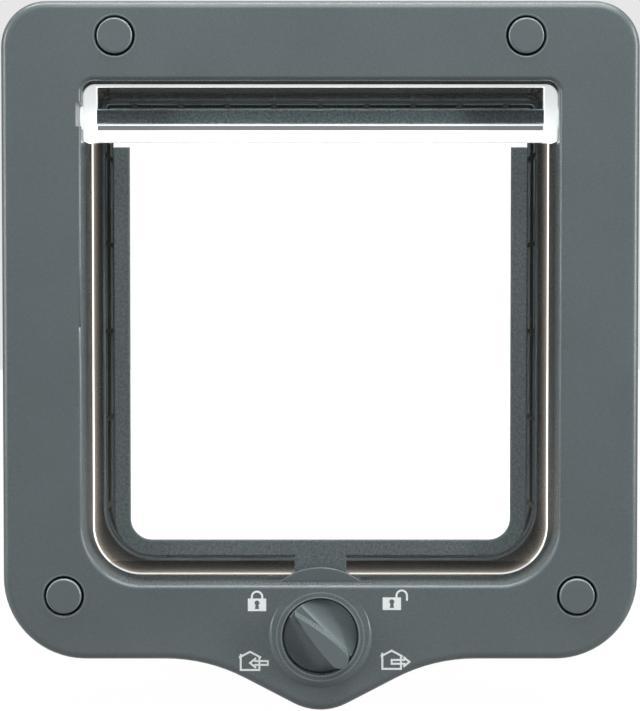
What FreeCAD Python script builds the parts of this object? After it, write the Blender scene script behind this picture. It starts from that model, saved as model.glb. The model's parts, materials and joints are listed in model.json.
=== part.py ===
import FreeCAD, Part
import math
import os

V = FreeCAD.Vector

# A two-way cat flap with a four-way lock, as it is set in a door.
# Millimetres. +X is right seen from indoors, +Y points outdoors and +Z is up.
# The origin is the centre of the door's cut-out, in the plane of the door's indoor face.

# Opening, and the smooth tunnel behind it
opening_width = 168.4
opening_height = 178.2
opening_top_corner = 4.5
opening_foot_corner = 21.0
lip_round = 1.4
tunnel_wall = 2.2
tunnel_draft = 0.5
tunnel_end_gap = 3.0

# Indoor plate
border_side = 28.3
border_top = 27.9
border_foot = 26.6
plate_wall = 2.4
top_corner = 16.0
foot_corner = 29.0
edge_round = 3.0

# Bulge of the indoor plate round the lock drum
bulge_skin = 0.4
bulge_slope = 27.5
bulge_nose_radius = 20.5
bulge_hollow_radius = 61.0

# Outdoor plate and its break-off tunnel rings
door_thickness = 63.0
outer_plate_depth = 12.0
slide_gap = 1.2
ring_wall = 1.0
ring_top_corner = 1.5
rim_length = 2.0
rim_reach = 21.3
slot_length = 15.0
ring_length = 3.0
last_slot_length = 9.3
bridge_width = 1.8
side_bridge_inset = 21.1
side_bridge_count = 5
top_bridge_inset = 11.8
top_bridge_count = 9
foot_bridge_places = (27.0, 59.0)

# Flap
flap_side_gap = 0.5
flap_sill_gap = 1.9
flap_foot_corner = 17.5
flap_thickness = 2.5
flap_edge_round = 0.6
hinge_below_top = 12.0
swing_front_gap = 0.7
band_offset = 4.2
band_thickness = 2.0
band_above_hinge = 11.7
band_below_hinge = 8.9
band_side_reach = 0.55
band_corner = 4.2
band_foot_corner = 1.5
shelf_thickness = 2.5
cheek_width = 4.6
cheek_behind_hinge = 2.8
stub_radius = 4.2
stub_length = 1.1
stub_end_gap = 0.2
running_gap = 0.08
swing_gap = 0.9
band_side_gap = 0.25

# Grey strips that the flap carries
bar_height = 5.5
bar_lift = 0.3
bar_end_gap = 0.2
strip_thickness = 2.0
strip_side_inset = 8.0
strip_width = 5.75
strip_foot_inset = 7.0
strip_outer_corner = 13.5
strip_top_gap = 1.7
strip_edge_round = 0.5
small_round = 0.5
tab_half_width = 9.3
tab_foot_gap = 0.8

# Magnets
flap_magnet_size = (14.0, 1.5, 3.0)
flap_magnet_lift = 0.5
sill_magnet_size = (16.0, 4.0, 2.0)
pocket_wall = 1.0
magnet_gap = 0.1

# Lock
lock_below_sill = 18.2
knob_radius = 13.0
knob_gap = 0.5
knob_proud = 0.4
knob_depth = 5.0
flange_radius = 14.5
flange_thickness = 2.3
axial_gap = 0.3
handle_height = 9.5
handle_tip = 12.6
handle_end = 9.3
handle_end_radius = 3.3
handle_flare = 0.3
handle_side_bow = 0.7
handle_round = 0.2
scoop_radius = 11.0
scoop_offset = 9.5
scoop_depth = 2.4
collar_radius = 18.2
collar_crest_radius = 15.5
collar_height = 2.4
collar_flush_above = 11.0
disc_radius = 23.3
disc_thickness = 1.8
disc_play = 1.4
disc_flat = 17.2
disc_edge_round = 0.4
hub_radius = 8.0
knob_hub_radius = 6.0
spigot_side = 6.0
spigot_gap = 0.1
spigot_end_gap = 0.2
journal_radius = 5.5
counterbore_radius = 3.3
counterbore_depth = 2.2
slot_half_width = 19.2
slot_gap = 0.6

# Lock drum, its cover and the click tongue
drum_gap = 0.5
drum_wall = 1.8
cover_thickness = 2.6
cover_gap = 0.55
cover_set_back = 0.9
cover_sill_gap = 0.9
cover_wall_gap = 0.3
cover_corner = 3.0
post_radius = 3.6
post_gap = 1.1
post_above_axis = 5.7
tongue_gap = 0.1
tongue_bump_radius = 0.9
tongue_thickness = 1.2
tongue_length = 11.0
tongue_free_length = 3.0
notch_depth = 0.6

# Screws: shaft radius, head radius, head height
frame_screw = (2.0, 4.0, 2.8)
cover_screw = (1.2, 2.4, 1.2)
knob_screw = (1.45, 3.0, 1.9)
screw_hole_gap = 0.4
thread_gap = 0.05
top_screw_from_side = 40.2
top_screw_below_edge = 12.4
foot_screw_from_side = 21.6
foot_screw_above_edge = 22.7
recess_radius = 7.0
recess_round = 0.6
recess_depth = 8.0
boss_wall = 2.0
boss_radius = 5.0
screw_grip = 8.0
cover_screw_grip = 8.0
knob_screw_grip = 6.0

# Press-in covers over the screw heads
cap_radius = 6.2
cap_proud = 0.8
cap_thickness = 2.2
cap_round = 0.7
cap_skirt_gap = 0.2
cap_skirt_wall = 0.8

# Stiffening ribs in the back of both plates
rib_thickness = 1.6
rib_set_back = 4.0
rib_columns = (-48.0, 48.0)
rib_rows = (-48.0, 0.0, 48.0)

# Planes and places worked out from the sizes above
opening_half = opening_width / 2
opening_top = opening_height / 2
sill = -opening_height / 2
plate_half = opening_half + border_side
plate_top = opening_top + border_top
plate_foot = sill - border_foot
band_reach = math.hypot(band_offset, band_above_hinge)
hinge_set_back = plate_wall + swing_front_gap + band_reach
lock_depth = flap_thickness / 2 + disc_play + disc_thickness + cover_gap + cover_thickness
hinge_y = -(lock_depth + cover_set_back)
hinge_z = opening_top - hinge_below_top
front = hinge_y - hinge_set_back
front_inner = front + plate_wall
outer_front = door_thickness
outer_back = door_thickness + outer_plate_depth
outer_inner = outer_back - plate_wall
tunnel_end = door_thickness - tunnel_end_gap
rim_front = door_thickness - rim_reach
ring_growth = (rim_front - front) * math.tan(math.radians(tunnel_draft)) - slide_gap
flap_half = opening_half + ring_growth - ring_wall - flap_side_gap
flap_front = hinge_y - flap_thickness / 2
flap_back = hinge_y + flap_thickness / 2
band_half_width = opening_half + band_side_reach
band_front = hinge_y - band_offset
band_back = band_front + band_thickness
side_bridge_pitch = (opening_height - 2 * side_bridge_inset) / (side_bridge_count - 1)
top_bridge_pitch = (opening_width - 2 * top_bridge_inset) / (top_bridge_count - 1)
band_top = hinge_z + band_above_hinge
band_foot = hinge_z - band_below_hinge
cheek_back = hinge_y + cheek_behind_hinge
strip_front = flap_front - strip_thickness
flap_foot = sill + flap_sill_gap
stub_end = band_half_width + stub_length
lock_z = sill - lock_below_sill
front_disc = strip_front - disc_play - disc_thickness
rear_disc = flap_back + disc_play
cover_front = rear_disc + disc_thickness + cover_gap
cover_back = cover_front + cover_thickness
drum_radius = disc_radius + drum_gap
drum_outside = drum_radius + drum_wall
bulge_point = lock_z - (drum_outside + bulge_skin) / math.cos(math.radians(bulge_slope))
post_spread = drum_outside + post_gap + post_radius
post_z = lock_z + post_above_axis
knob_face = front - knob_proud
knob_back = knob_face + knob_depth
screw_floor = front + recess_depth
sill_underside = sill - tunnel_wall
top_screw_x = plate_half - top_screw_from_side
top_screw_z = plate_top - top_screw_below_edge
foot_screw_x = plate_half - foot_screw_from_side
foot_screw_z = plate_foot + foot_screw_above_edge
screw_places = {
    "top_left": (-top_screw_x, top_screw_z),
    "top_right": (top_screw_x, top_screw_z),
    "foot_left": (-foot_screw_x, foot_screw_z),
    "foot_right": (foot_screw_x, foot_screw_z),
}
cut_over = 1.0
far = 4 * plate_half


def rounded_loop(corners, y):
    """Closed wire at y through corners (x, z, radius), each rounded by a tangent arc."""
    arcs = []
    for i, (x, z, radius) in enumerate(corners):
        here = V(x, y, z)
        last = corners[i - 1]
        following = corners[(i + 1) % len(corners)]
        back = (V(last[0], y, last[1]) - here).normalize()
        onward = (V(following[0], y, following[1]) - here).normalize()
        half_angle = back.getAngle(onward) / 2
        inward = (back + onward).normalize()
        reach = radius / math.tan(half_angle)
        depth = radius / math.sin(half_angle) - radius
        arcs.append((here + back * reach, here + inward * depth, here + onward * reach))
    edges = []
    for i, (start, middle, end) in enumerate(arcs):
        edges.append(Part.Arc(start, middle, end).toShape())
        next_start = arcs[(i + 1) % len(arcs)][0]
        if end.distanceToPoint(next_start) > 0.001:
            edges.append(Part.LineSegment(end, next_start).toShape())
    return Part.Wire(Part.__sortEdges__(edges))


def prism(wire, y_start, y_end):
    return Part.Face(wire).extrude(V(0, y_end - y_start, 0))


def box(x, y, z):
    """Solid between the two values of each range."""
    size = [high - low for low, high in (x, y, z)]
    return Part.makeBox(*size, V(x[0], y[0], z[0]))


def rod(radius, x, z, y_start, y_end):
    """Cylinder along Y."""
    return Part.makeCylinder(radius, y_end - y_start, V(x, y_start, z), V(0, 1, 0))


def edges_at(shape, y, inside=None):
    """Edges in the plane at y; inside picks those within, or outside, the opening's lip."""
    found = []
    for edge in shape.Edges:
        if all(abs(vertex.Y - y) < 0.001 for vertex in edge.Vertexes):
            reach = edge.BoundBox
            within = max(-reach.XMin, reach.XMax) < opening_half + cut_over
            if inside is None or within == inside:
                found.append(edge)
    return found


def round_front(shape, y, radius, inside=None):
    return shape.makeFillet(radius, edges_at(shape, y, inside))


def circles_at(shape, y, radius):
    """Circular edges of that radius in the plane at y."""
    return [edge for edge in edges_at(shape, y) if abs(getattr(edge.Curve, "Radius", 0) - radius) < 0.001]


def plate_loop(y, inset=0.0, bulge=True):
    """Outline of a plate, pulled in by inset."""
    half = plate_half - inset
    top = plate_top - inset
    foot = plate_foot + inset
    upper = [(-half, top, top_corner - inset), (half, top, top_corner - inset)]
    right = [(half, foot, foot_corner - inset)]
    left = [(-half, foot, foot_corner - inset)]
    middle = []
    if bulge:
        slope = math.radians(bulge_slope)
        point_z = bulge_point + inset / math.cos(slope)
        hollow_x = (foot - point_z) / math.tan(slope)
        hollow_radius = bulge_hollow_radius + inset
        middle = [
            (hollow_x, foot, hollow_radius),
            (0.0, point_z, bulge_nose_radius - inset),
            (-hollow_x, foot, hollow_radius),
        ]
    return rounded_loop(upper + right + middle + left, y)


def opening_loop(y, grow):
    """The opening's outline at y, grown by grow and by the mould's draft."""
    grown = grow + (y - front) * math.tan(math.radians(tunnel_draft))
    half = opening_half + grown
    high = opening_top + grown
    top_radius = opening_top_corner + grow
    foot_radius = opening_foot_corner + grow
    corners = [(-half, high, top_radius), (half, high, top_radius)]
    corners += [(half, -high, foot_radius), (-half, -high, foot_radius)]
    return rounded_loop(corners, y)


def tunnel_solid(grow, y_start, y_end):
    loops = [opening_loop(y_start, grow), opening_loop(y_end, grow)]
    return Part.makeLoft(loops, True, True)


def ring_solid(inset, y_start, y_end):
    """Straight tunnel of the outdoor frame, which slides into the indoor tunnel."""
    grown = ring_growth - inset
    half = opening_half + grown
    high = opening_top + grown
    top_radius = ring_top_corner - inset
    foot_radius = opening_foot_corner + grown
    corners = [(-half, high, top_radius), (half, high, top_radius)]
    corners += [(half, -high, foot_radius), (-half, -high, foot_radius)]
    return prism(rounded_loop(corners, y_start), y_start, y_end)


def ribs(y_start, y_end):
    """Straight ribs across the back of a plate."""
    half = rib_thickness / 2
    found = [box((x - half, x + half), (y_start, y_end), (-far, far)) for x in rib_columns]
    found += [box((-far, far), (y_start, y_end), (z - half, z + half)) for z in rib_rows]
    return found[0].fuse(found[1:])


def collar():
    """Raised ring round the knob, which runs out flush towards the opening."""
    centre = V(0, front, lock_z)
    ring = Part.makeCone(collar_radius, collar_crest_radius, collar_height, centre, V(0, -1, 0))
    fall = collar_flush_above + collar_radius
    tilt = math.degrees(math.atan(collar_height / fall))
    over = 3 * collar_radius
    wedge = Part.makeBox(2 * over, over, 2 * over, V(-over, front - over, lock_z - over))
    wedge.rotate(V(0, front, lock_z + collar_flush_above), V(1, 0, 0), -tilt)
    return ring.cut(wedge)


def click_tongue():
    """Sprung arm beside the knob's flange, drawn where a turning flange pushes it."""
    bump_z = lock_z - flange_radius - tongue_gap - tongue_bump_radius
    arm_top = bump_z + tongue_bump_radius - notch_depth
    y_range = (front_inner + axial_gap, front_inner + axial_gap + flange_thickness)
    arm = box((-tongue_length, tongue_free_length), y_range, (arm_top - tongue_thickness, arm_top))
    bump = rod(tongue_bump_radius, 0, bump_z, *y_range)
    root_x = (-tongue_length - tongue_thickness, -tongue_length)
    root_z = (arm_top - 2 * tongue_thickness, arm_top + tongue_thickness / 2)
    root = box(root_x, (front_inner, y_range[1]), root_z)
    return arm.fuse([bump, root])


def screw_bosses(y_start, y_end, radius):
    return [rod(radius, x, z, y_start, y_end) for x, z in screw_places.values()]


def hinge_space(grow):
    """Space that the flap's hinge band turns in, grown by grow for its housing."""
    reach = band_reach + swing_gap + grow
    half = band_half_width + band_side_gap + grow
    y_range = (front_inner, hinge_y + reach)
    return box((-half, half), y_range, (hinge_z - reach, hinge_z + reach))


def magnet_pocket():
    """Clip under the sill, open below, between the two lock discs."""
    length, width, height = sill_magnet_size
    wall = pocket_wall + magnet_gap
    y_middle = (strip_front + flap_back) / 2
    x_range = (-length / 2 - wall, length / 2 + wall)
    y_range = (y_middle - width / 2 - wall, y_middle + width / 2 + wall)
    block = box(x_range, y_range, (sill_underside - height, sill_underside + tunnel_wall / 2))
    x_range = (-length / 2 - magnet_gap, length / 2 + magnet_gap)
    y_range = (y_middle - width / 2 - magnet_gap, y_middle + width / 2 + magnet_gap)
    return block.cut(box(x_range, y_range, (sill_underside - height, sill_underside)))


def sill_slots():
    """Two slots in the sill that the lock discs rise through."""
    z_range = (sill_underside - cut_over, sill + cut_over)
    x_range = (-slot_half_width, slot_half_width)
    slots = []
    for start in (front_disc, rear_disc):
        y_range = (start - slot_gap, start + disc_thickness + slot_gap)
        slots.append(box(x_range, y_range, z_range))
    return slots


def interior_frame():
    solid = prism(plate_loop(front), front, 0)
    solid = solid.cut(tunnel_solid(0, front - cut_over, cut_over))
    solid = round_front(solid, front, edge_round, False)
    solid = round_front(solid, front, lip_round, True)
    solid = solid.cut(screw_bosses(front - cut_over, screw_floor, recess_radius))
    solid = solid.makeFillet(recess_round, circles_at(solid, front, recess_radius))
    hollow = prism(plate_loop(front_inner, plate_wall), front_inner, cut_over)
    solid = solid.cut(hollow)

    below_sill = box((-far, far), (front, cut_over), (-far, sill - cut_over))
    drum = rod(drum_outside, 0, lock_z, front_inner, cover_front).common(below_sill)
    posts = [rod(post_radius, x, post_z, front_inner, cover_front) for x in (-post_spread, post_spread)]
    webs = box((-post_spread, post_spread), (front_inner, cover_front),
               (post_z - rib_thickness / 2, post_z + rib_thickness / 2))
    back_ribs = ribs(front_inner, -rib_set_back).common(hollow)
    added = [tunnel_solid(tunnel_wall, front_inner, tunnel_end), hinge_space(tunnel_wall)]
    added += [back_ribs, drum, webs] + posts
    added += screw_bosses(front_inner, screw_floor + boss_wall, recess_radius + boss_wall)
    added += screw_bosses(screw_floor, 0, boss_radius)
    solid = solid.fuse(added)

    drum_space = rod(drum_radius, 0, lock_z, front_inner, cut_over)
    under_sill = box((-far, far), (front, cut_over), (-far, sill_underside))
    cuts = [tunnel_solid(0, front - cut_over, tunnel_end + cut_over), hinge_space(0)]
    cuts += [drum_space.common(under_sill)] + sill_slots()
    cuts += screw_bosses(front_inner, screw_floor, recess_radius)
    cuts += screw_bosses(front, cut_over, frame_screw[0] + screw_hole_gap)
    cuts += [rod(knob_radius + knob_gap, 0, lock_z, front - cut_over, front_inner + cut_over)]
    cuts += [rod(cover_screw[0] + thread_gap, x, post_z, cover_front - cover_screw_grip - cut_over,
                 cover_front) for x in (-post_spread, post_spread)]
    bearing = stub_radius + running_gap
    bearing_end = stub_end + stub_end_gap
    cuts += [Part.makeCylinder(bearing, 2 * bearing_end, V(-bearing_end, hinge_y, hinge_z), V(1, 0, 0))]
    cuts += [box((-bearing_end, -opening_half + cut_over), (front - cut_over, hinge_y),
                 (hinge_z - bearing, hinge_z + bearing))]
    solid = solid.cut(cuts)

    ring = collar().cut(rod(knob_radius + knob_gap, 0, lock_z, front - 2 * collar_height, front))
    solid = solid.fuse([ring, click_tongue(), magnet_pocket()])
    return solid.removeSplitter()


def bridges(y_start, y_end):
    """Small ties between the break-off rings, spaced along each side."""
    half = bridge_width / 2
    across = (-far, far)
    y_range = (y_start, y_end)
    found = []
    for i in range(side_bridge_count):
        z = (i - (side_bridge_count - 1) / 2) * side_bridge_pitch
        found.append(box(across, y_range, (z - half, z + half)))
    for i in range(top_bridge_count):
        x = (i - (top_bridge_count - 1) / 2) * top_bridge_pitch
        found.append(box((x - half, x + half), y_range, (0, far)))
    for x in foot_bridge_places:
        for side in (-x, x):
            found.append(box((side - half, side + half), y_range, (-far, 0)))
    return found[0].fuse(found[1:])


def ring_tunnel():
    """Rim, open slots and rings that are cut back to suit a thinner door."""
    first_slot = rim_front + rim_length
    ring_front = first_slot + slot_length
    last_slot = ring_front + ring_length
    collar_front = last_slot + last_slot_length
    whole = ring_solid(0, rim_front, outer_back)
    pieces = [ring_solid(0, rim_front, first_slot), ring_solid(0, ring_front, last_slot)]
    pieces += [ring_solid(0, collar_front, outer_inner)]
    pieces += [whole.common(bridges(rim_front, outer_inner))]
    return pieces[0].fuse(pieces[1:])


def exterior_frame():
    solid = prism(plate_loop(outer_front, bulge=False), outer_front, outer_back)
    solid = solid.cut(ring_solid(ring_wall, outer_front - cut_over, outer_back + cut_over))
    solid = round_front(solid, outer_back, edge_round, False)
    solid = round_front(solid, outer_back, lip_round, True)
    hollow = prism(plate_loop(outer_front - cut_over, plate_wall, False),
                   outer_front - cut_over, outer_inner)
    solid = solid.cut(hollow)
    back_ribs = ribs(outer_front + rib_set_back, outer_inner).common(hollow)
    clear = ring_solid(-tunnel_wall, outer_front, outer_inner)
    bosses = screw_bosses(outer_front, outer_inner, boss_radius)
    solid = solid.fuse([ring_tunnel(), back_ribs.cut(clear)] + bosses)
    cuts = [ring_solid(ring_wall, rim_front - cut_over, outer_back + cut_over)]
    cuts += screw_bosses(outer_front - cut_over, outer_front + screw_grip + cut_over / 2,
                         frame_screw[0] + thread_gap)
    return solid.cut(cuts).removeSplitter()


def flap_panel():
    """Clear moulding: sheet, hinge band stepped forward, end cheeks and hinge stubs."""
    shelf_top = band_foot + shelf_thickness
    corners = [(-flap_half, shelf_top, small_round), (flap_half, shelf_top, small_round)]
    corners += [(flap_half, flap_foot, flap_foot_corner), (-flap_half, flap_foot, flap_foot_corner)]
    sheet = prism(rounded_loop(corners, flap_front), flap_front, flap_back)
    sheet = sheet.makeFillet(flap_edge_round, edges_at(sheet, flap_front) + edges_at(sheet, flap_back))

    corners = [(-band_half_width, band_top, band_corner), (band_half_width, band_top, band_corner)]
    corners += [(band_half_width, band_foot, band_foot_corner)]
    corners += [(-band_half_width, band_foot, band_foot_corner)]
    band = prism(rounded_loop(corners, band_front), band_front, cheek_back)
    band = round_front(band, band_front, flap_edge_round)
    inner = band_half_width - cheek_width
    band = band.cut(box((-inner, inner), (band_back, cheek_back + cut_over),
                        (shelf_top, band_top + cut_over)))
    band = band.cut(box((-inner, inner), (flap_back, cheek_back + cut_over),
                        (band_foot - cut_over, shelf_top + cut_over)))
    stubs = Part.makeCylinder(stub_radius, 2 * stub_end, V(-stub_end, hinge_y, hinge_z), V(1, 0, 0))
    stubs = stubs.cut(box((-inner, inner), (front, 0), (sill, plate_top)))
    return sheet.fuse([band, stubs]).removeSplitter()


def flap_hinge_bar():
    half = band_half_width - cheek_width - bar_end_gap
    middle = hinge_z + bar_lift
    bar = box((-half, half), (band_back, cheek_back), (middle - bar_height / 2, middle + bar_height / 2))
    long_edges = [edge for edge in bar.Edges if edge.Length > half]
    return bar.makeFillet(strip_edge_round, long_edges)


def magnet_box(size, y, z, grow=0.0):
    """Bar magnet on the centre line; grow is the gap that its pocket leaves."""
    length, width, height = size
    x_range = (-length / 2 - grow, length / 2 + grow)
    return box(x_range, (y, y + width), (z - grow, z + height + grow))


def flap_edge_frame():
    """Grey U-strip on the flap with the magnet's tab at its foot."""
    half = flap_half - strip_side_inset
    foot = flap_foot + strip_foot_inset
    top = band_foot - strip_top_gap
    corners = [(-half, top, small_round), (half, top, small_round)]
    corners += [(half, foot, strip_outer_corner), (-half, foot, strip_outer_corner)]
    strip = prism(rounded_loop(corners, strip_front), strip_front, flap_front)
    inner = half - strip_width
    inner_corner = strip_outer_corner - strip_width
    corners = [(-inner, top + 2 * cut_over, small_round), (inner, top + 2 * cut_over, small_round)]
    corners += [(inner, foot + strip_width, inner_corner), (-inner, foot + strip_width, inner_corner)]
    strip = strip.cut(prism(rounded_loop(corners, strip_front), strip_front, flap_front))
    tab = box((-tab_half_width, tab_half_width), (strip_front, flap_front),
              (flap_foot + tab_foot_gap, foot + strip_width / 2))
    strip = strip.fuse(tab).removeSplitter()
    strip = round_front(strip, strip_front, strip_edge_round)
    return strip.cut(flap_magnet(magnet_gap))


def flap_magnet(grow=0.0):
    lift = flap_foot + tab_foot_gap + flap_magnet_lift
    return magnet_box(flap_magnet_size, flap_front - flap_magnet_size[1], lift, grow)


def sill_magnet():
    height = sill_magnet_size[2]
    y_start = (strip_front + flap_back - sill_magnet_size[1]) / 2
    return magnet_box(sill_magnet_size, y_start, sill_underside - height)


def handle_loop(y, grow):
    """Teardrop seen from the front, pointing along +Z, with slightly bowed sides."""
    tip = handle_tip + grow
    radius = handle_end_radius + grow
    span = tip + handle_end
    lean = math.asin(radius / span)
    touch_x = radius * math.cos(lean)
    touch_z = -handle_end + radius * math.sin(lean)
    top = V(0, y, tip)
    left = V(-touch_x, y, touch_z)
    right = V(touch_x, y, touch_z)
    bow_x = touch_x / 2 + handle_side_bow
    bow_z = (tip + touch_z) / 2
    edges = [
        Part.Arc(top, V(bow_x, y, bow_z), right).toShape(),
        Part.Arc(right, V(0, y, -handle_end - radius), left).toShape(),
        Part.Arc(left, V(-bow_x, y, bow_z), top).toShape(),
    ]
    return Part.Wire(edges)


def knob():
    """Knob pointing up, later turned to the sign that it points at."""
    body = rod(knob_radius, 0, 0, knob_face, knob_back)
    body = body.makeFillet(knob_proud, edges_at(body, knob_face))
    for side in (-scoop_offset, scoop_offset):
        y = knob_face - scoop_radius + scoop_depth
        body = body.cut(Part.makeCylinder(scoop_radius, 4 * knob_radius,
                                          V(side, y, -2 * knob_radius), V(0, 0, 1)))
    handle_top = knob_face - handle_height
    handle = Part.makeLoft([handle_loop(knob_face + scoop_depth, handle_flare),
                            handle_loop(handle_top, 0)], True, True)
    handle = handle.makeFillet(handle_round, edges_at(handle, handle_top))
    handle = handle.common(rod(knob_radius, 0, 0, handle_top - cut_over, knob_back))
    flange_front = front_inner + axial_gap
    flange = rod(flange_radius, 0, 0, flange_front, flange_front + flange_thickness)
    notch_place = flange_radius + tongue_bump_radius + tongue_gap - notch_depth
    pointing = math.radians(45)
    for quarter in range(4):
        turn = pointing + quarter * math.pi / 2
        x = notch_place * math.sin(turn)
        z = notch_place * math.cos(turn)
        flange = flange.cut(rod(tongue_bump_radius + tongue_gap, x, z, front, 0))
    hub = rod(knob_hub_radius, 0, 0, front_inner, front_disc)
    half = spigot_side / 2
    spigot_end = rear_disc - spigot_end_gap
    spigot = box((-half, half), (front_disc, spigot_end), (-half, half))
    body = body.fuse([handle, flange, hub, spigot])
    body = body.cut(rod(knob_screw[0] + thread_gap, 0, 0, spigot_end - knob_screw_grip - cut_over,
                        spigot_end + cut_over))
    body.rotate(V(0, 0, 0), V(0, 1, 0), -45)
    body.translate(V(0, 0, lock_z))
    return body.removeSplitter()


def lock_disc(y_start, flats):
    """Disc with flat sides; flats lists the directions, in degrees from +X towards +Z."""
    disc = rod(disc_radius, 0, lock_z, y_start, y_start + disc_thickness)
    rims = edges_at(disc, y_start) + edges_at(disc, y_start + disc_thickness)
    disc = disc.makeFillet(disc_edge_round, rims)
    for direction in flats:
        slab = box((disc_flat, 2 * disc_radius), (y_start, y_start + disc_thickness),
                   (lock_z - disc_radius, lock_z + disc_radius))
        slab.rotate(V(0, 0, lock_z), V(0, 1, 0), -direction)
        disc = disc.cut(slab)
    return disc


def lock_cam():
    """Two discs on one hub: the front one stops the flap indoors, the rear one outdoors."""
    discs = [lock_disc(front_disc, (0, 180)), lock_disc(rear_disc, (180, 270))]
    journal_end = cover_back
    body = rod(hub_radius, 0, lock_z, front_disc, rear_disc)
    body = body.fuse(discs + [rod(journal_radius, 0, lock_z, rear_disc, journal_end)])
    half = spigot_side / 2 + spigot_gap
    socket = box((-half, half), (front_disc - cut_over, rear_disc), (-half, half))
    socket.rotate(V(0, 0, 0), V(0, 1, 0), -45)
    socket.translate(V(0, 0, lock_z))
    bore = rod(knob_screw[0] + screw_hole_gap / 2, 0, lock_z, front_disc, journal_end + cut_over)
    seat = rod(counterbore_radius, 0, lock_z, journal_end - counterbore_depth, journal_end + cut_over)
    return body.cut([socket, bore, seat]).removeSplitter()


def lock_cover():
    """Plate screwed over the drum; it carries the cam's rear journal."""
    plate = rod(drum_outside, 0, lock_z, cover_front, cover_back)
    half = post_spread + post_radius
    corners = [(-half, post_z + post_radius, cover_corner), (half, post_z + post_radius, cover_corner)]
    corners += [(half, post_z - post_radius, cover_corner), (-half, post_z - post_radius, cover_corner)]
    plate = plate.fuse(prism(rounded_loop(corners, cover_front), cover_front, cover_back))
    top = sill_underside - cover_sill_gap
    plate = plate.cut(box((-far, far), (front, cut_over), (top, 0)))
    within = plate_loop(cover_front, plate_wall + cover_wall_gap)
    plate = plate.common(prism(within, cover_front, cover_back))
    cuts = [rod(journal_radius + running_gap, 0, lock_z, front, cut_over)]
    for x in (-post_spread, post_spread):
        cuts.append(rod(cover_screw[0] + screw_hole_gap / 2, x, post_z, front, cut_over))
        cuts.append(rod(cover_screw[1] + screw_hole_gap, x, post_z, cover_back - cover_screw[2], cut_over))
    return plate.cut(cuts).removeSplitter()


def screw(kind, x, z, seat, length, way):
    """Pan-head screw: the head bears on the plane at seat, the shaft runs along way."""
    shaft_radius, head_radius, head_height = kind
    head = Part.makeCylinder(head_radius, head_height, V(x, seat, z), V(0, -way, 0))
    head_top = seat - way * head_height
    head = head.makeFillet(head_height * 0.4, edges_at(head, head_top))
    shaft = Part.makeCylinder(shaft_radius, length, V(x, seat, z), V(0, way, 0))
    tip = seat + way * length
    shaft = shaft.makeChamfer(shaft_radius * 0.4, edges_at(shaft, tip))
    body = head.fuse(shaft)
    arm = head_radius * 0.6
    blade = head_radius * 0.14
    deep = sorted((head_top - way, head_top + way * head_height * 0.5))
    for half_x, half_z in ((arm, blade), (blade, arm)):
        body = body.cut(box((x - half_x, x + half_x), deep, (z - half_z, z + half_z)))
    return body


def screw_cover(x, z):
    """Press-in cap whose skirt grips the screw head and stands on the recess floor."""
    cap_front = front - cap_proud
    cap = rod(cap_radius, x, z, cap_front, cap_front + cap_thickness)
    cap = cap.makeFillet(cap_round, edges_at(cap, cap_front))
    inner = frame_screw[1] + cap_skirt_gap
    skirt = rod(inner + cap_skirt_wall, x, z, cap_front + cap_thickness, screw_floor)
    skirt = skirt.cut(rod(inner, x, z, cap_front + cap_thickness, screw_floor))
    return cap.fuse(skirt)


def nodes():
    """Every separate piece by its name."""
    found = {
        "interior_frame": interior_frame(),
        "exterior_frame": exterior_frame(),
        "flap_panel": flap_panel(),
        "flap_hinge_bar": flap_hinge_bar(),
        "flap_edge_frame": flap_edge_frame(),
        "flap_magnet": flap_magnet(),
        "sill_magnet": sill_magnet(),
        "knob": knob(),
        "lock_cam": lock_cam(),
        "lock_cover": lock_cover(),
    }
    seat = cover_back - counterbore_depth
    length = seat - (rear_disc - spigot_end_gap) + knob_screw_grip
    found["knob_screw"] = screw(knob_screw, 0, lock_z, seat, length, -1)
    seat = cover_back - cover_screw[2]
    length = seat - cover_front + cover_screw_grip
    for side, x in (("left", -post_spread), ("right", post_spread)):
        found["lock_cover_screw_" + side] = screw(cover_screw, x, post_z, seat, length, -1)
    length = outer_front + screw_grip - screw_floor
    for place, (x, z) in screw_places.items():
        found["frame_screw_" + place] = screw(frame_screw, x, z, screw_floor, length, 1)
        found["screw_cover_" + place] = screw_cover(x, z)
    return found


os.makedirs("parts", exist_ok=True)
for name, shape in nodes().items():
    shape.exportStep("parts/" + name + ".step")
    print(name, shape.isValid(), len(shape.Solids), round(shape.Volume, 1))
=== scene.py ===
import json
import math

import bmesh
import bpy
from mathutils import Matrix, Vector


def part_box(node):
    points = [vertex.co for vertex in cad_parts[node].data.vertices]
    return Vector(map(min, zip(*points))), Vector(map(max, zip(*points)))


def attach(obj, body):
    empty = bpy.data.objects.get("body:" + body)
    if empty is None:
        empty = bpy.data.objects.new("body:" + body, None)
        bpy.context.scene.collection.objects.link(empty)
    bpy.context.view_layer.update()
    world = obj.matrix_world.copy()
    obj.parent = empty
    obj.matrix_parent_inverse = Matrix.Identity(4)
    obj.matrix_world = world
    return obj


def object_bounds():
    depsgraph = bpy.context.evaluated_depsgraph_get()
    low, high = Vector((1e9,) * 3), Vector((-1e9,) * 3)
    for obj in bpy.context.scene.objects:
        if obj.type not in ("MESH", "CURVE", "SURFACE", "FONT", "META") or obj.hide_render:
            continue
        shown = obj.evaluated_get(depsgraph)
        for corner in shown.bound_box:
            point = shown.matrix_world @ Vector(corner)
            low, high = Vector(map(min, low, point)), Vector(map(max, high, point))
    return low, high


# Looks of the cat flap. Metres, in the part's own frame: +X right, +Y outdoors, +Z up.
MM = 0.001

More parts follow.
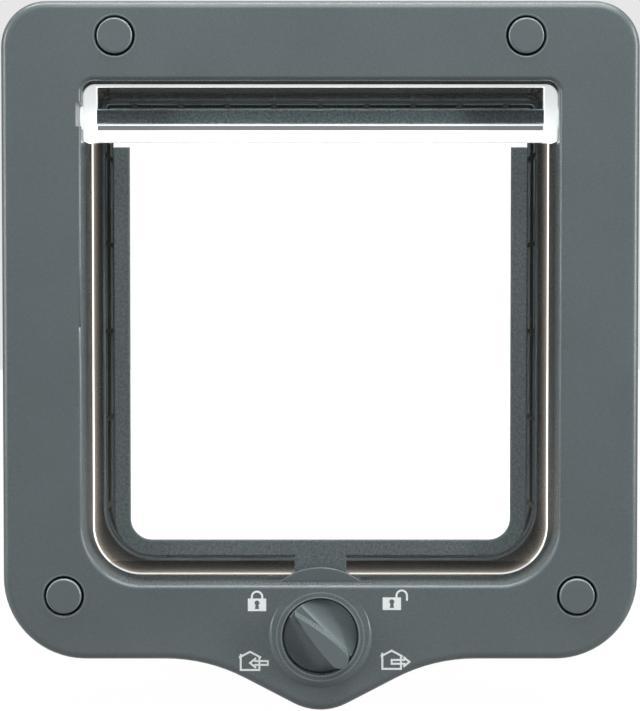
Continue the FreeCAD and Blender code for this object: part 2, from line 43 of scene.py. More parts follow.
# Camera as the photograph was taken: distance in front of the indoor plate, height and sideways
# place against the door's cut-out, downward tilt, focal length in pixels
IMAGE_HEIGHT = 711
FOCAL_PIXELS = 2018.2
CAMERA_DISTANCE = 711.8 * MM
CAMERA_HEIGHT = 8.8 * MM
CAMERA_SIDE = -0.14 * MM
CAMERA_TILT = math.radians(1.9)
FRAMING_SHIFT = 20 / IMAGE_HEIGHT
SENSOR = 36.0

# Printed signs round the knob, measured from its axis
PRINT_THICKNESS = 0.03 * MM
PRINT_STEP = 0.004 * MM
LINE = 0.7 * MM
CLOSED_PADLOCK = (-22.45 * MM, 8.96 * MM)
OPEN_PADLOCK = (25.3 * MM, 9.36 * MM)
HOUSE_IN = (-24.95 * MM, -12.0 * MM)
HOUSE_OUT = (25.25 * MM, -11.6 * MM)
LOCK_WIDTH = 6.5 * MM
LOCK_HEIGHT = 4.5 * MM
SHACKLE_RADIUS = 1.85 * MM
SHACKLE_LEG = 0.6 * MM
OPEN_LEG = 1.8 * MM
OPEN_SHACKLE_SIDE = 3.5 * MM
KEYHOLE_RADIUS = 0.88 * MM
KEYHOLE_EYE = 2.925 * MM
KEYHOLE_START = 0.72 * MM
KEYHOLE_NECK = 0.62 * MM
KEYHOLE_FOOT = 0.76 * MM
WALL_SIDE = 3.3 * MM
EAVES_SIDE = 3.9 * MM
EAVES_HEIGHT = 4.4 * MM
ROOF_HEIGHT = 6.85 * MM
CHIMNEY_HEIGHT = 5.7 * MM
ARROW_HEIGHT = 2.5 * MM
ARROW_LENGTH = 6.3 * MM
BARB_BACK = 2.15 * MM
BARB_SIDE = 1.75 * MM
SHAFT_SIDE = 0.68 * MM
SHAFT_START = 1.5 * MM

# How deep the screw covers lie below the plate's face
COVER_STEP = 0.8 * MM

# Light from the studio in front of the part, from the camera's side of it, and from the room behind
STUDIO = (0.36, 0.365, 0.37)
CAMERA_SIDE_SHADE = (0.06, 0.06, 0.06)
CAMERA_SIDE_FROM = -0.975
CAMERA_SIDE_TO = -0.92
ROOM = (0.024, 0.018, 0.012)
ROOM_FROM = 0.1
ROOM_TO = 0.5

# Floor: brightness to the viewer, share of it that hides the paper, and what gloss near the part mirrors
FLOOR_SIDE = 8.0
FLOOR_IN_FRONT = (0.12, 0.12, 0.12)
FLOOR_BEHIND = (0.12, 0.11, 0.1)
FLOOR_BEHIND_FROM = 0.05
FLOOR_GLOW = 1.1
FLOOR_GLOW_SHARE = 0.9
FLOOR_MIRRORED = 0.8
MIRRORED_REACH = 0.15

# Share by which the background and the floor behind the clear flap make up for its reflections
GLASS_LOSS = 0.42
GLASS_LOSS_FLOOR = 0.52

# Lamps: name, place, target, width and height, watts
LAMPS = (
    ("key", (0.12, -0.5, 0.6), (0, 0, 0.05), (0.6, 0.3), 2.7),
    ("overhead", (0, -0.1, 1.25), (0, 0, 0.1), (1.6, 0.1), 10.0),
    ("overhead_front", (0, -0.33, 1.25), (0, 0, 0.1), (1.6, 0.1), 9.0),
    ("left", (-1.3, -0.1, 0.1), (0, 0, 0), (0.1, 1.4), 5.0),
    ("left_front", (-1.3, -0.5, 0.1), (0, 0, 0), (0.1, 1.4), 10.0),
    ("right", (1.3, -0.1, 0.1), (0, 0, 0), (0.1, 1.4), 5.0),
    ("right_front", (1.3, -0.5, 0.1), (0, 0, 0), (0.1, 1.4), 15.0),
    ("back", (0, 0.5, 1.3), (0, 0.1, 0), (1.2, 0.3), 3.0),
)

# Tone of the knob against its slot's colour; the flap's strips and the hinge bar are brightened against
# theirs as painted light, for the shade they lie in
KNOB_TONE = 1.2
STRIP_PAINTED_LIGHT = 1.15
BAR_PAINTED_LIGHT = 3.4

# Moulded plastic: how far its roughness varies either way
GLOSS_DRIFT = 0.04

# Tunnel's ceiling: height and slope from which a face belongs to it, and the gloss it keeps
CEILING = 86 * MM
CEILING_SLOPE = -0.8
CEILING_ROUGHNESS = 0.2

# Faces that look across the passage: their reach from the middle, and the depth where they start
INWARD_FROM = 25 * MM
INWARD_TO = 70 * MM
OUTWARD_FROM = -20 * MM
WALL_FROM = 2 * MM
WALL_TO = 8 * MM

# Painted light and shade on those faces: a warm tint, painted light near the flap fading to painted
# shade with depth; the rings' rim gets a painted highlight
TUNNEL_TINT = (1.33, 1.0, 0.78)
TUNNEL_START = 9 * MM
TUNNEL_FADE = 9 * MM
TUNNEL_DEEP_SHADE = 0.25
TUNNEL_NEAR_LIGHT = 1.1
RINGS_START = 42.3 * MM
RINGS_END = 59.5 * MM
RIM_FRONT = 41.7 * MM
RIM_HALF = 0.3 * MM
RIM_HIGHLIGHT = 1.7

# Painted highlight rings at the rounded edges of the collar and of the screw covers
RING_WIDTH = 0.4 * MM
RING_HIGHLIGHT = 1.8
RING_BACK = -22 * MM
COLLAR_RINGS = (13.9 * MM, 15.5 * MM)
COVER_RING = 7.5 * MM
COVER_EDGE = 6.0 * MM

# Clear flap: milky parts of its hinge band, which get a painted glow, and the grey line printed along
# the band
ACRYLIC_IOR = 1.49
CHEEK_START = 80.0 * MM
BAND_FOOT = 68.9 * MM
BAND_RIM = 87.8 * MM
MILKY_TO = 74.5 * MM
MILKY_PAINTED_GLOW = 0.6
GREY_LINE = 73.2 * MM
GREY_LINE_WIDTH = 1.6 * MM
GREY_LINE_END = 79.5 * MM
GREY_LINE_COLOUR = (0.17, 0.18, 0.185)

# Painted glow at the clear panel's sides and foot, and the shade painted along its foot
PANEL_EDGE_PAINTED_GLOW = 0.36
EDGE_GLOW_DEPTH = 0.75 * MM
EDGE_GLOW_TINT = (1.0, 0.88, 0.77)
PANEL_CORNER = 17.5 * MM
FOOT_EDGE = -82.4 * MM
FOOT_EDGE_SHADE = 0.5


def node_setup(name):
    """Empty material with its output and a shader, and object coordinates to hang textures on."""
    material = bpy.data.materials.new(name)
    material.use_nodes = True
    tree = material.node_tree
    shader = tree.nodes["Principled BSDF"]
    place = tree.nodes.new("ShaderNodeTexCoord")
    return material, tree, shader, place.outputs["Object"]


def noise(tree, place, size, detail=2.0, roughness=0.5):
    """Noise whose grains are about size metres across."""
    texture = tree.nodes.new("ShaderNodeTexNoise")
    texture.inputs["Scale"].default_value = 1 / size
    texture.inputs["Detail"].default_value = detail
    texture.inputs["Roughness"].default_value = roughness
    tree.links.new(place, texture.inputs["Vector"])
    return texture.outputs["Fac"]


def ramped(tree, value, start, end, low=0.0, high=1.0):
    """Goes from low to high as value goes from start to end."""
    ramp = tree.nodes.new("ShaderNodeMapRange")
    ramp.inputs["From Min"].default_value = start
    ramp.inputs["From Max"].default_value = end
    ramp.inputs["To Min"].default_value = low
    ramp.inputs["To Max"].default_value = high
    tree.links.new(value, ramp.inputs["Value"])
    return ramp.outputs["Result"]


def spread(tree, value, low, high):
    """Maps a noise's usual range to low..high."""
    return ramped(tree, value, 0.3, 0.7, low, high)


def join(tree, value, socket):
    """Puts a number or vector into a socket, or links another node's output to it."""
    if isinstance(value, (int, float, tuple, Vector)):
        socket.default_value = value
    else:
        tree.links.new(value, socket)


def calculated(tree, operation, *values):
    """Result of a math node; each value is an output or a number."""
    node = tree.nodes.new("ShaderNodeMath")
    node.operation = operation
    for socket, value in zip(node.inputs, values):
        join(tree, value, socket)
    return node.outputs[0]


def vector_calculated(tree, operation, *values):
    """Result of a vector math node; each value is an output or a vector."""
    node = tree.nodes.new("ShaderNodeVectorMath")
    node.operation = operation
    for socket, value in zip(node.inputs, values):
        join(tree, value, socket)
    return node.outputs["Value" if operation in ("DOT_PRODUCT", "LENGTH") else "Vector"]


def dimmed(tree, tone, factor):
    """Tone times a factor that is a number or an output."""
    node = tree.nodes.new("ShaderNodeVectorMath")
    node.operation = "SCALE"
    tree.links.new(tone, node.inputs[0])
    join(tree, factor, node.inputs["Scale"])
    return node.outputs["Vector"]


def blended(tree, factor, first, second):
    """Colour that goes from first to second by factor; each is an output or a colour."""
    mix = tree.nodes.new("ShaderNodeMix")
    mix.data_type = "RGBA"
    tree.links.new(factor, mix.inputs["Factor"])
    for name, colour in (("A", first), ("B", second)):
        join(tree, (*colour, 1) if isinstance(colour, tuple) else colour, mix.inputs[name])
    return mix.outputs["Result"]


def axes_of(tree, vector):
    """The X, Y and Z outputs of a vector."""
    node = tree.nodes.new("ShaderNodeSeparateXYZ")
    tree.links.new(vector, node.inputs[0])
    return node.outputs["X"], node.outputs["Y"], node.outputs["Z"]


def bump(tree, shader, height, depth, worn_edge=0.0):
    """Fine relief; worn_edge softens the shading of the edges over that radius."""
    node = tree.nodes.new("ShaderNodeBump")
    node.inputs["Distance"].default_value = depth
    tree.links.new(height, node.inputs["Height"])
    tree.links.new(node.outputs["Normal"], shader.inputs["Normal"])
    if worn_edge:
        soft = tree.nodes.new("ShaderNodeBevel")
        soft.samples = 4
        soft.inputs["Radius"].default_value = worn_edge
        tree.links.new(soft.outputs["Normal"], node.inputs["Normal"])


def scaled(colour, factor):
    """Colour times a factor, at most white."""
    return tuple(min(1.0, channel * factor) for channel in colour[:3])


def into_tunnel(tree, place, normal, depth):
    """1 on faces that look across the passage, behind the indoor plate, else 0."""
    to_middle = vector_calculated(tree, "MULTIPLY", place, (-1, 0, -1))
    across = vector_calculated(tree, "DOT_PRODUCT", to_middle, normal)
    inward = ramped(tree, across, INWARD_FROM, INWARD_TO)
    wall = calculated(tree, "MULTIPLY", inward, ramped(tree, depth, WALL_FROM, WALL_TO))
    not_outward = calculated(tree, "GREATER_THAN", across, OUTWARD_FROM)
    middle, half = (RINGS_START + RINGS_END) / 2, (RINGS_END - RINGS_START) / 2
    rings = calculated(tree, "MULTIPLY", not_outward, calculated(tree, "COMPARE", depth, middle, half))
    return calculated(tree, "MAXIMUM", wall, rings)


def painted_tunnel_shade(tree, place, normal, depth, tone):
    """Tone with painted warm light near the flap and painted shade with depth on the faces that look
    into the tunnel, and a painted highlight on the rings' rim.
    """
    way = calculated(tree, "SUBTRACT", TUNNEL_START, calculated(tree, "MAXIMUM", depth, TUNNEL_START))
    fade = calculated(tree, "EXPONENT", calculated(tree, "DIVIDE", way, TUNNEL_FADE))
    shade = calculated(tree, "MULTIPLY_ADD", fade, TUNNEL_NEAR_LIGHT, TUNNEL_DEEP_SHADE)
    shaded = dimmed(tree, vector_calculated(tree, "MULTIPLY", tone, TUNNEL_TINT), shade)
    on_rim = calculated(tree, "COMPARE", depth, RIM_FRONT, RIM_HALF)
    rim = dimmed(tree, tone, calculated(tree, "MULTIPLY_ADD", on_rim, RIM_HIGHLIGHT - 1, 1.0))
    return blended(tree, into_tunnel(tree, place, normal, depth), rim, shaded)


def painted_edge_highlights(tree, place, tone, rings):
    """Tone with thin lighter rings painted on the indoor plate as highlights of rounded edges; each ring
    is a centre and a radius.
    """
    indoors = calculated(tree, "LESS_THAN", axes_of(tree, place)[1], RING_BACK)
    light = 1.0
    for centre, radius in rings:
        shifted = vector_calculated(tree, "SUBTRACT", place, centre)
        away = vector_calculated(tree, "LENGTH", vector_calculated(tree, "MULTIPLY", shifted, (1, 0, 1)))
        on_ring = calculated(tree, "COMPARE", away, radius, RING_WIDTH / 2)
        on_ring = calculated(tree, "MULTIPLY", on_ring, indoors)
        light = calculated(tree, "MULTIPLY_ADD", on_ring, RING_HIGHLIGHT - 1, light)
    return dimmed(tree, tone, light)


def polished_ceiling(tree, normal, height, gloss):
    """Roughness, lowered on the tunnel's ceiling."""
    ceiling = calculated(tree, "MULTIPLY",
                         calculated(tree, "LESS_THAN", axes_of(tree, normal)[2], CEILING_SLOPE),
                         calculated(tree, "GREATER_THAN", height, CEILING))
    kept = calculated(tree, "MULTIPLY_ADD", ceiling, CEILING_ROUGHNESS - 1, 1.0)
    return calculated(tree, "MULTIPLY", gloss, kept)


def moulded(name, colour, roughness, cloud=0.05, grain_size=0.35 * MM, grain_depth=0.012 * MM,
            speckle=0.0, speckle_size=0.5 * MM, worn_edge=0.35 * MM, tunnel=False, rings=()):
    """Moulded plastic: slow tone drift, fine spark texture, and a speckle where asked for.

    With tunnel, faces inside the tunnel get its painted warm light and shade, and its ceiling is smooth.
    """
    material, tree, shader, place = node_setup(name)
    slow = noise(tree, place, 40 * MM, 3.0)
    tone = blended(tree, spread(tree, slow, 0, 1), scaled(colour, 1 - cloud), scaled(colour, 1 + cloud))
    grain = noise(tree, place, grain_size, 3.0, 0.6)
    if speckle:
        dots = noise(tree, place, speckle_size, 4.0, 0.7)
        tone = dimmed(tree, tone, spread(tree, dots, 1 - speckle, 1 + speckle))
    gloss = spread(tree, grain, roughness - GLOSS_DRIFT, roughness + GLOSS_DRIFT)
    if rings:
        # Painted highlight rings on rounded edges
        tone = painted_edge_highlights(tree, place, tone, rings)
    if tunnel:
        normal = tree.nodes.new("ShaderNodeNewGeometry").outputs["True Normal"]
        _, depth, height = axes_of(tree, place)
        # Painted warm light near the flap and painted shade with depth on faces in the tunnel
        tone = painted_tunnel_shade(tree, place, normal, depth, tone)
        gloss = polished_ceiling(tree, normal, height, gloss)
    tree.links.new(tone, shader.inputs["Base Color"])
    tree.links.new(gloss, shader.inputs["Roughness"])
    bump(tree, shader, grain, grain_depth, worn_edge)
    return material


def painted_edge_glow(tree, x, height, panel):
    """Glow painted on the clear panel along its sides and foot, fading inwards."""
    below_band = [v.co for v in panel.data.vertices if v.co.z < 0]
    half = max(co.x for co in below_band)
    foot = min(co.z for co in below_band)
    across = calculated(tree, "SUBTRACT", x, half - PANEL_CORNER)
    down = calculated(tree, "SUBTRACT", foot + PANEL_CORNER, height)
    outer = [calculated(tree, "MAXIMUM", way, 0.0) for way in (across, down)]
    squares = [calculated(tree, "MULTIPLY", way, way) for way in outer]
    round_part = calculated(tree, "SQRT", calculated(tree, "ADD", *squares))
    flat_part = calculated(tree, "MINIMUM", calculated(tree, "MAXIMUM", across, down), 0.0)
    past_middle = calculated(tree, "ADD", round_part, flat_part)
    from_edge = calculated(tree, "MAXIMUM", calculated(tree, "SUBTRACT", PANEL_CORNER, past_middle), 0.0)
    fade = calculated(tree, "EXPONENT", calculated(tree, "DIVIDE", from_edge, -EDGE_GLOW_DEPTH))
    on_panel = calculated(tree, "LESS_THAN", height, BAND_FOOT)
    return calculated(tree, "MULTIPLY", fade, calculated(tree, "MULTIPLY", on_panel, PANEL_EDGE_PAINTED_GLOW))


def milky_band(tree, x, height):
    """1 on the hinge band's ends, foot and top rim, else 0."""
    end = calculated(tree, "GREATER_THAN", x, CHEEK_START)
    foot = calculated(tree, "LESS_THAN", height, MILKY_TO)
    rim = calculated(tree, "GREATER_THAN", height, BAND_RIM)
    milky = calculated(tree, "MAXIMUM", calculated(tree, "MAXIMUM", end, foot), rim)
    return calculated(tree, "MULTIPLY", milky, calculated(tree, "GREATER_THAN", height, BAND_FOOT))


def clear_acrylic(name, colour, panel):
    """Clear moulding with a milky, lined hinge band and a painted glow on that band and at the panel's
    edges.
    """
    material, tree, shader, place = node_setup(name)
    shader.inputs["IOR"].default_value = ACRYLIC_IOR
    across, _, height = axes_of(tree, place)
    x = calculated(tree, "ABSOLUTE", across)
    milky = milky_band(tree, x, height)
    tree.links.new(calculated(tree, "SUBTRACT", 1.0, milky), shader.inputs["Transmission Weight"])
    # Painted glow on the milky hinge band and along the panel's edges, though neither is a lamp
    glow = calculated(tree, "MULTIPLY_ADD", milky, MILKY_PAINTED_GLOW, painted_edge_glow(tree, x, height, panel))
    tree.links.new(glow, shader.inputs["Emission Strength"])
    waves = noise(tree, place, 25 * MM, 1.0)
    tone = blended(tree, waves, scaled(colour, 1.0), scaled(colour, 1.02))
    # Shade painted along the panel's foot
    foot_edge = calculated(tree, "LESS_THAN", height, FOOT_EDGE)
    tone = dimmed(tree, tone, calculated(tree, "MULTIPLY_ADD", foot_edge, FOOT_EDGE_SHADE - 1, 1.0))
    line = calculated(tree, "COMPARE", height, GREY_LINE, GREY_LINE_WIDTH / 2)
    line = calculated(tree, "MULTIPLY", line, calculated(tree, "LESS_THAN", x, GREY_LINE_END))
    tone = blended(tree, line, tone, GREY_LINE_COLOUR)
    tree.links.new(tone, shader.inputs["Base Color"])
    tree.links.new(blended(tree, milky, EDGE_GLOW_TINT, tone), shader.inputs["Emission Color"])
    scuffs = noise(tree, place, 1.5 * MM, 4.0, 0.7)
    tree.links.new(spread(tree, scuffs, 0.0, 0.02), shader.inputs["Roughness"])
    bump(tree, shader, waves, 0.01 * MM)
    return material


def plated(name, colour, roughness):
    """Plated steel with a faint directionless brushing."""
    material, tree, shader, place = node_setup(name)
    shader.inputs["Metallic"].default_value = 1.0
    patches = noise(tree, place, 2.5 * MM, 4.0)
    tone = blended(tree, patches, scaled(colour, 0.9), scaled(colour, 1.08))
    tree.links.new(tone, shader.inputs["Base Color"])
    fine = noise(tree, place, 0.2 * MM, 3.0)
    tree.links.new(spread(tree, fine, roughness - 0.07, roughness + 0.1), shader.inputs["Roughness"])
    bump(tree, shader, fine, 0.006 * MM)
    return material


def printed(name):
    """Pad-printed white ink, a little thin here and there."""
    material, tree, shader, place = node_setup(name)
    patches = noise(tree, place, 0.6 * MM, 3.0)
    tone = blended(tree, patches, (0.8, 0.85, 0.86), (0.95, 0.97, 0.97))
    tree.links.new(tone, shader.inputs["Base Color"])
    fine = noise(tree, place, 0.25 * MM, 3.0)
    tree.links.new(spread(tree, fine, 0.4, 0.55), shader.inputs["Roughness"])
    bump(tree, shader, fine, 0.005 * MM)
    return material


def middle_of(node):
    low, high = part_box(node)
    return (low + high) / 2


def plate_face():
    """Y of the indoor plate's face."""
    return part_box("screw_cover_top_left")[0].y + COVER_STEP


def spark_textured(name, colour):
    """Rough, speckled moulding of the flap's strips and hinge bar."""
    return moulded(name, colour, 0.6, cloud=0.03, grain_size=0.5 * MM, grain_depth=0.05 * MM,
                   speckle=0.5, speckle_size=0.9 * MM)


def dress_nodes(frame):
    """Gives each CAD node the material of its slot, and the hinge bar its own, brightened as painted
    light.
    """
    colours = {row["slot"]: row["base_color"] for row in frame["record"]["materials"]}
    places = ("top_left", "top_right", "foot_left", "foot_right")
    covers = [middle_of("screw_cover_" + place) for place in places]
    # Painted highlight rings round the collar, round the screw covers' holes and on the covers' own
    # edges
    plate_rings = [(middle_of("knob"), radius) for radius in COLLAR_RINGS]
    plate_rings += [(centre, COVER_RING) for centre in covers]
    cover_rings = [(centre, COVER_EDGE) for centre in covers]
    panel = frame["nodes"]["flap_panel"]
    looks = {
        "frame_plastic": moulded("slate_plastic", colours["frame_plastic"], 0.27, tunnel=True,
                                 rings=plate_rings),
        "knob_plastic": moulded("knob_plastic", scaled(colours["knob_plastic"], KNOB_TONE), 0.28),
        "lock_plastic": moulded("lock_plastic", colours["lock_plastic"], 0.36),
        "cap_plastic": moulded("cap_plastic", colours["cap_plastic"], 0.28, rings=cover_rings),
        # Strips brightened as painted light for the shade of their recess
        "strip_plastic": spark_textured("spark_textured_plastic",
                                        scaled(colours["strip_plastic"], STRIP_PAINTED_LIGHT)),
        "clear_plastic": clear_acrylic("clear_acrylic", colours["clear_plastic"], panel),
        "magnet": plated("nickel", colours["magnet"], 0.25),
        "screw_steel": plated("zinc", colours["screw_steel"], 0.3),
    }
    for row in frame["record"]["subparts"]:
        mesh = frame["nodes"][row["node"]].data
        mesh.materials.clear()
        mesh.materials.append(looks[row["material_slot"]])
    # Hinge bar brightened as painted light for the lip's shadow on it
    bar = spark_textured("bar_plastic_painted_light", scaled(colours["strip_plastic"], BAR_PAINTED_LIGHT))
    frame["nodes"]["flap_hinge_bar"].data.materials[0] = bar
    panel.visible_shadow = False


def arc(centre, radius, start, end, steps=24):
    """Points on an arc, angles in degrees anticlockwise from +X."""
    points = []
    for i in range(steps + 1):
        angle = math.radians(start + (end - start) * i / steps)
        points.append(centre + radius * Vector((math.cos(angle), math.sin(angle))))
    return points


def stroke(points, closed=False):
    """Outline of a line LINE wide along points, with mitred corners."""
    count = len(points)
    sides = ([], [])
    for i, point in enumerate(points):
        before = points[i - 1] if closed or i else None
        after = points[(i + 1) % count] if closed or i < count - 1 else None
        ways = []
        if before:
            ways.append((point - before).normalized())
        if after:
            ways.append((after - point).normalized())
        normals = [Vector((-w.y, w.x)) for w in ways]
        middle = sum(normals, Vector((0, 0))).normalized()
        reach = LINE / 2 / middle.dot(normals[0])
        sides[0].append(point + middle * reach)
        sides[1].append(point - middle * reach)
    if closed:
        return [sides[0], sides[1]]
    return [sides[0] + sides[1][::-1]]


def add_print(name, shapes, place, material):
    """Thin printed piece centred on place; each shape is a list of loops, holes included.

    Each shape is a little thicker than the one before, so that crossing lines don't share a face.
    """
    built = bmesh.new()
    for number, loops in enumerate(shapes):
        curve = bpy.data.curves.new(name, "CURVE")
        curve.dimensions = "2D"
        curve.fill_mode = "BOTH"
        curve.extrude = (PRINT_THICKNESS + number * PRINT_STEP) / 2
        for loop in loops:
            spline = curve.splines.new("POLY")
            spline.points.add(len(loop) - 1)
            spline.use_cyclic_u = True
            for corner, point in zip(spline.points, loop):
                corner.co = (point.x, point.y, 0, 1)
        holder = bpy.data.objects.new(name, curve)
        mesh = bpy.data.meshes.new_from_object(holder)
        built.from_mesh(mesh)
        bpy.data.objects.remove(holder)
        bpy.data.curves.remove(curve)
        bpy.data.meshes.remove(mesh)
    built.transform(Matrix.Translation(place) @ Matrix.Rotation(math.pi / 2, 4, "X"))
    mesh = bpy.data.meshes.new(name)
    built.to_mesh(mesh)
    built.free()
    mesh.materials.append(material)
    sign = bpy.data.objects.new(name, mesh)
    bpy.context.scene.collection.objects.link(sign)
    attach(sign, "frame")


def corners(*points):
    """Points of a drawing from pairs of numbers."""
    return [Vector(point) for point in points]


def padlock(shackle_side, free_leg):
    """Padlock with a keyhole; shackle_side moves the shackle, free_leg is its right leg's length."""
    half = LOCK_WIDTH / 2
    body = corners((-half, 0), (half, 0), (half, LOCK_HEIGHT), (-half, LOCK_HEIGHT))
    neck = KEYHOLE_START + KEYHOLE_RADIUS
    keyhole = arc(Vector((0, KEYHOLE_EYE)), KEYHOLE_RADIUS, -55, 235)
    keyhole += corners((-KEYHOLE_NECK, neck), (-KEYHOLE_FOOT, KEYHOLE_START),
                       (KEYHOLE_FOOT, KEYHOLE_START), (KEYHOLE_NECK, neck))
    middle = Vector((shackle_side, LOCK_HEIGHT + SHACKLE_LEG))
    bow = [middle + Vector((SHACKLE_RADIUS, -free_leg))]
    bow += arc(middle, SHACKLE_RADIUS, 0, 180)
    bow.append(Vector((shackle_side - SHACKLE_RADIUS, LOCK_HEIGHT)))
    return [[body, keyhole], stroke(bow)]


def house(arrow_out):
    """House outline with a chimney and a hollow arrow through its right wall."""
    walls = corners((-WALL_SIDE, CHIMNEY_HEIGHT), (-WALL_SIDE, 0), (WALL_SIDE, 0),
                    (WALL_SIDE, EAVES_HEIGHT))
    roof = corners((-EAVES_SIDE, EAVES_HEIGHT), (0, ROOF_HEIGHT - LINE / 2), (EAVES_SIDE, EAVES_HEIGHT))
    way = 1 if arrow_out else -1
    tip = ARROW_LENGTH if arrow_out else 0.0
    end = ARROW_LENGTH - tip
    barb = tip - way * BARB_BACK
    start = tip - way * SHAFT_START
    head = corners((barb, ARROW_HEIGHT + BARB_SIDE), (tip, ARROW_HEIGHT),
                   (barb, ARROW_HEIGHT - BARB_SIDE))
    shaft = corners((start, ARROW_HEIGHT + SHAFT_SIDE), (end, ARROW_HEIGHT + SHAFT_SIDE),
                    (end, ARROW_HEIGHT - SHAFT_SIDE), (start, ARROW_HEIGHT - SHAFT_SIDE))
    return [stroke(line) for line in (walls, roof, head, shaft)]


def add_signs():
    """The four signs round the knob, for its four clicks."""
    axis = middle_of("knob")
    ink = printed("white_ink")
    signs = {
        "sign_closed_padlock": (padlock(0.0, SHACKLE_LEG), CLOSED_PADLOCK),
        "sign_open_padlock": (padlock(OPEN_SHACKLE_SIDE, OPEN_LEG), OPEN_PADLOCK),
        "sign_in_only": (house(False), HOUSE_IN),
        "sign_out_only": (house(True), HOUSE_OUT),
    }
    for name, (shapes, (side, up)) in signs.items():
        place = (axis.x + side, plate_face() - PRINT_THICKNESS / 2, axis.z + up)
        add_print(name, shapes, place, ink)


def seen_through_glass(tree, path):
    """1 for rays that leave the clear flap towards what the viewer sees behind it, else 0."""
    bounces = calculated(tree, "ADD", path.outputs["Diffuse Depth"], path.outputs["Glossy Depth"])
    straight = calculated(tree, "LESS_THAN", bounces, 0.5)
    return calculated(tree, "MULTIPLY", path.outputs["Is Transmission Ray"], straight)


def shown(tree, factor, plain, special):
    """Shader that goes from plain to special by factor."""
    mix = tree.nodes.new("ShaderNodeMixShader")
    tree.links.new(factor, mix.inputs["Fac"])
    tree.links.new(plain.outputs[0], mix.inputs[1])
    tree.links.new(special.outputs[0], mix.inputs[2])
    return mix.outputs[0]


def add_world():
    """White studio in front of the part and a dim brown room behind it; white to the viewer."""
    world = bpy.data.worlds.new("studio")
    bpy.context.scene.world = world
    world.use_nodes = True
    tree = world.node_tree
    away = axes_of(tree, tree.nodes.new("ShaderNodeTexCoord").outputs["Generated"])[1]
    behind = tree.nodes.new("ShaderNodeMapRange")
    behind.interpolation_type = "SMOOTHSTEP"
    behind.inputs["From Min"].default_value = ROOM_FROM
    behind.inputs["From Max"].default_value = ROOM_TO
    tree.links.new(away, behind.inputs["Value"])
    facing = ramped(tree, away, CAMERA_SIDE_FROM, CAMERA_SIDE_TO)
    front = blended(tree, facing, CAMERA_SIDE_SHADE, STUDIO)
    around = tree.nodes["Background"]
    tree.links.new(blended(tree, behind.outputs["Result"], front, ROOM), around.inputs["Color"])
    path = tree.nodes.new("ShaderNodeLightPath")
    glass = seen_through_glass(tree, path)
    white = tree.nodes.new("ShaderNodeBackground")
    tree.links.new(calculated(tree, "MULTIPLY_ADD", glass, GLASS_LOSS, 1.0), white.inputs["Strength"])
    seen = calculated(tree, "MAXIMUM", path.outputs["Is Camera Ray"], glass)
    tree.links.new(shown(tree, seen, around, white), tree.nodes["World Output"].inputs["Surface"])


def floor_material():
    """White to the viewer; to the part, dim paper that its gloss mirrors brighter close by."""
    material, tree, paper, place = node_setup("white_floor")
    depth = axes_of(tree, place)[1]
    in_front = calculated(tree, "LESS_THAN", depth, FLOOR_BEHIND_FROM)
    near = ramped(tree, depth, -MIRRORED_REACH, -MIRRORED_REACH / 3)
    tree.links.new(blended(tree, in_front, FLOOR_BEHIND, FLOOR_IN_FRONT), paper.inputs["Base Color"])
    paper.inputs["Roughness"].default_value = 0.9
    path = tree.nodes.new("ShaderNodeLightPath")
    glass = seen_through_glass(tree, path)
    glow = tree.nodes.new("ShaderNodeEmission")
    strength = calculated(tree, "MULTIPLY_ADD", glass, GLASS_LOSS_FLOOR, FLOOR_GLOW)
    tree.links.new(strength, glow.inputs["Strength"])
    mirrored = calculated(tree, "MULTIPLY", path.outputs["Is Glossy Ray"], in_front)
    mirrored = calculated(tree, "MULTIPLY", mirrored, calculated(tree, "MULTIPLY", near, FLOOR_MIRRORED))
    seen = calculated(tree, "MAXIMUM", path.outputs["Is Camera Ray"], mirrored)
    seen = calculated(tree, "MAXIMUM", seen, glass)
    share = calculated(tree, "MULTIPLY", seen, FLOOR_GLOW_SHARE)
    tree.links.new(shown(tree, share, paper, glow), tree.nodes["Material Output"].inputs["Surface"])
    return material


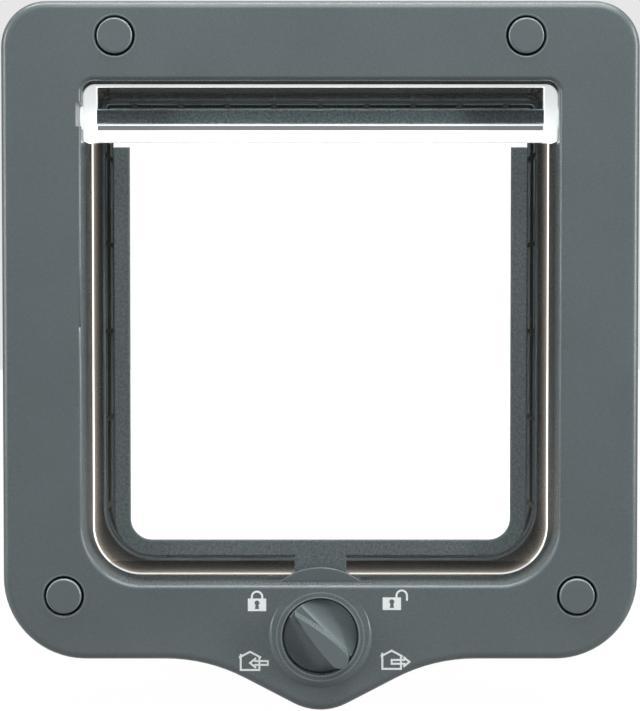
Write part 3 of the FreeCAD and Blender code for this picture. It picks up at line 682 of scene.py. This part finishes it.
def add_floor(height):
    """Floor under the part's lowest point."""
    mesh = bpy.data.meshes.new("floor")
    half = FLOOR_SIDE / 2
    outline = ((-half, -half), (half, -half), (half, half), (-half, half))
    mesh.from_pydata([(x, y, height) for x, y in outline], [], [(0, 1, 2, 3)])
    mesh.materials.append(floor_material())
    floor = bpy.data.objects.new("floor", mesh)
    bpy.context.scene.collection.objects.link(floor)


def add_lights():
    """Strips that graze the plate from above and both sides, and a weak key and back light."""
    for name, place, target, size, power in LAMPS:
        lamp = bpy.data.lights.new(name, "AREA")
        lamp.shape = "RECTANGLE"
        lamp.size, lamp.size_y = size
        lamp.energy = power
        holder = bpy.data.objects.new(name, lamp)
        holder.location = place
        holder.rotation_mode = "QUATERNION"
        holder.rotation_quaternion = (Vector(target) - Vector(place)).to_track_quat("-Z", "Y")
        bpy.context.scene.collection.objects.link(holder)


def add_camera():
    """The photograph's camera."""
    data = bpy.data.cameras.new("camera")
    data.sensor_width = SENSOR
    data.lens = FOCAL_PIXELS / IMAGE_HEIGHT * SENSOR
    data.shift_y = FRAMING_SHIFT
    data.clip_start = 0.05
    camera = bpy.data.objects.new("camera", data)
    camera.location = (CAMERA_SIDE, plate_face() - CAMERA_DISTANCE, CAMERA_HEIGHT)
    camera.rotation_euler = (math.pi / 2 - CAMERA_TILT, 0, 0)
    bpy.context.scene.collection.objects.link(camera)
    bpy.context.scene.camera = camera


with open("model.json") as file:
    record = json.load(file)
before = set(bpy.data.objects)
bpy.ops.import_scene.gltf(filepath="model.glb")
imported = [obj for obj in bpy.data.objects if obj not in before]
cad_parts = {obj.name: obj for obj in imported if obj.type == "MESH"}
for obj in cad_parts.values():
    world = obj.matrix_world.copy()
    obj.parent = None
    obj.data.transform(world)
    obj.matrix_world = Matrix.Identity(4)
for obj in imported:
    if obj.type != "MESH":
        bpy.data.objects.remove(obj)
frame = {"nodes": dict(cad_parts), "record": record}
cad_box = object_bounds()

dress_nodes(frame)
add_signs()
add_world()
add_floor(cad_box[0].z)
add_lights()
add_camera()
bpy.context.scene.view_settings.view_transform = "Standard"
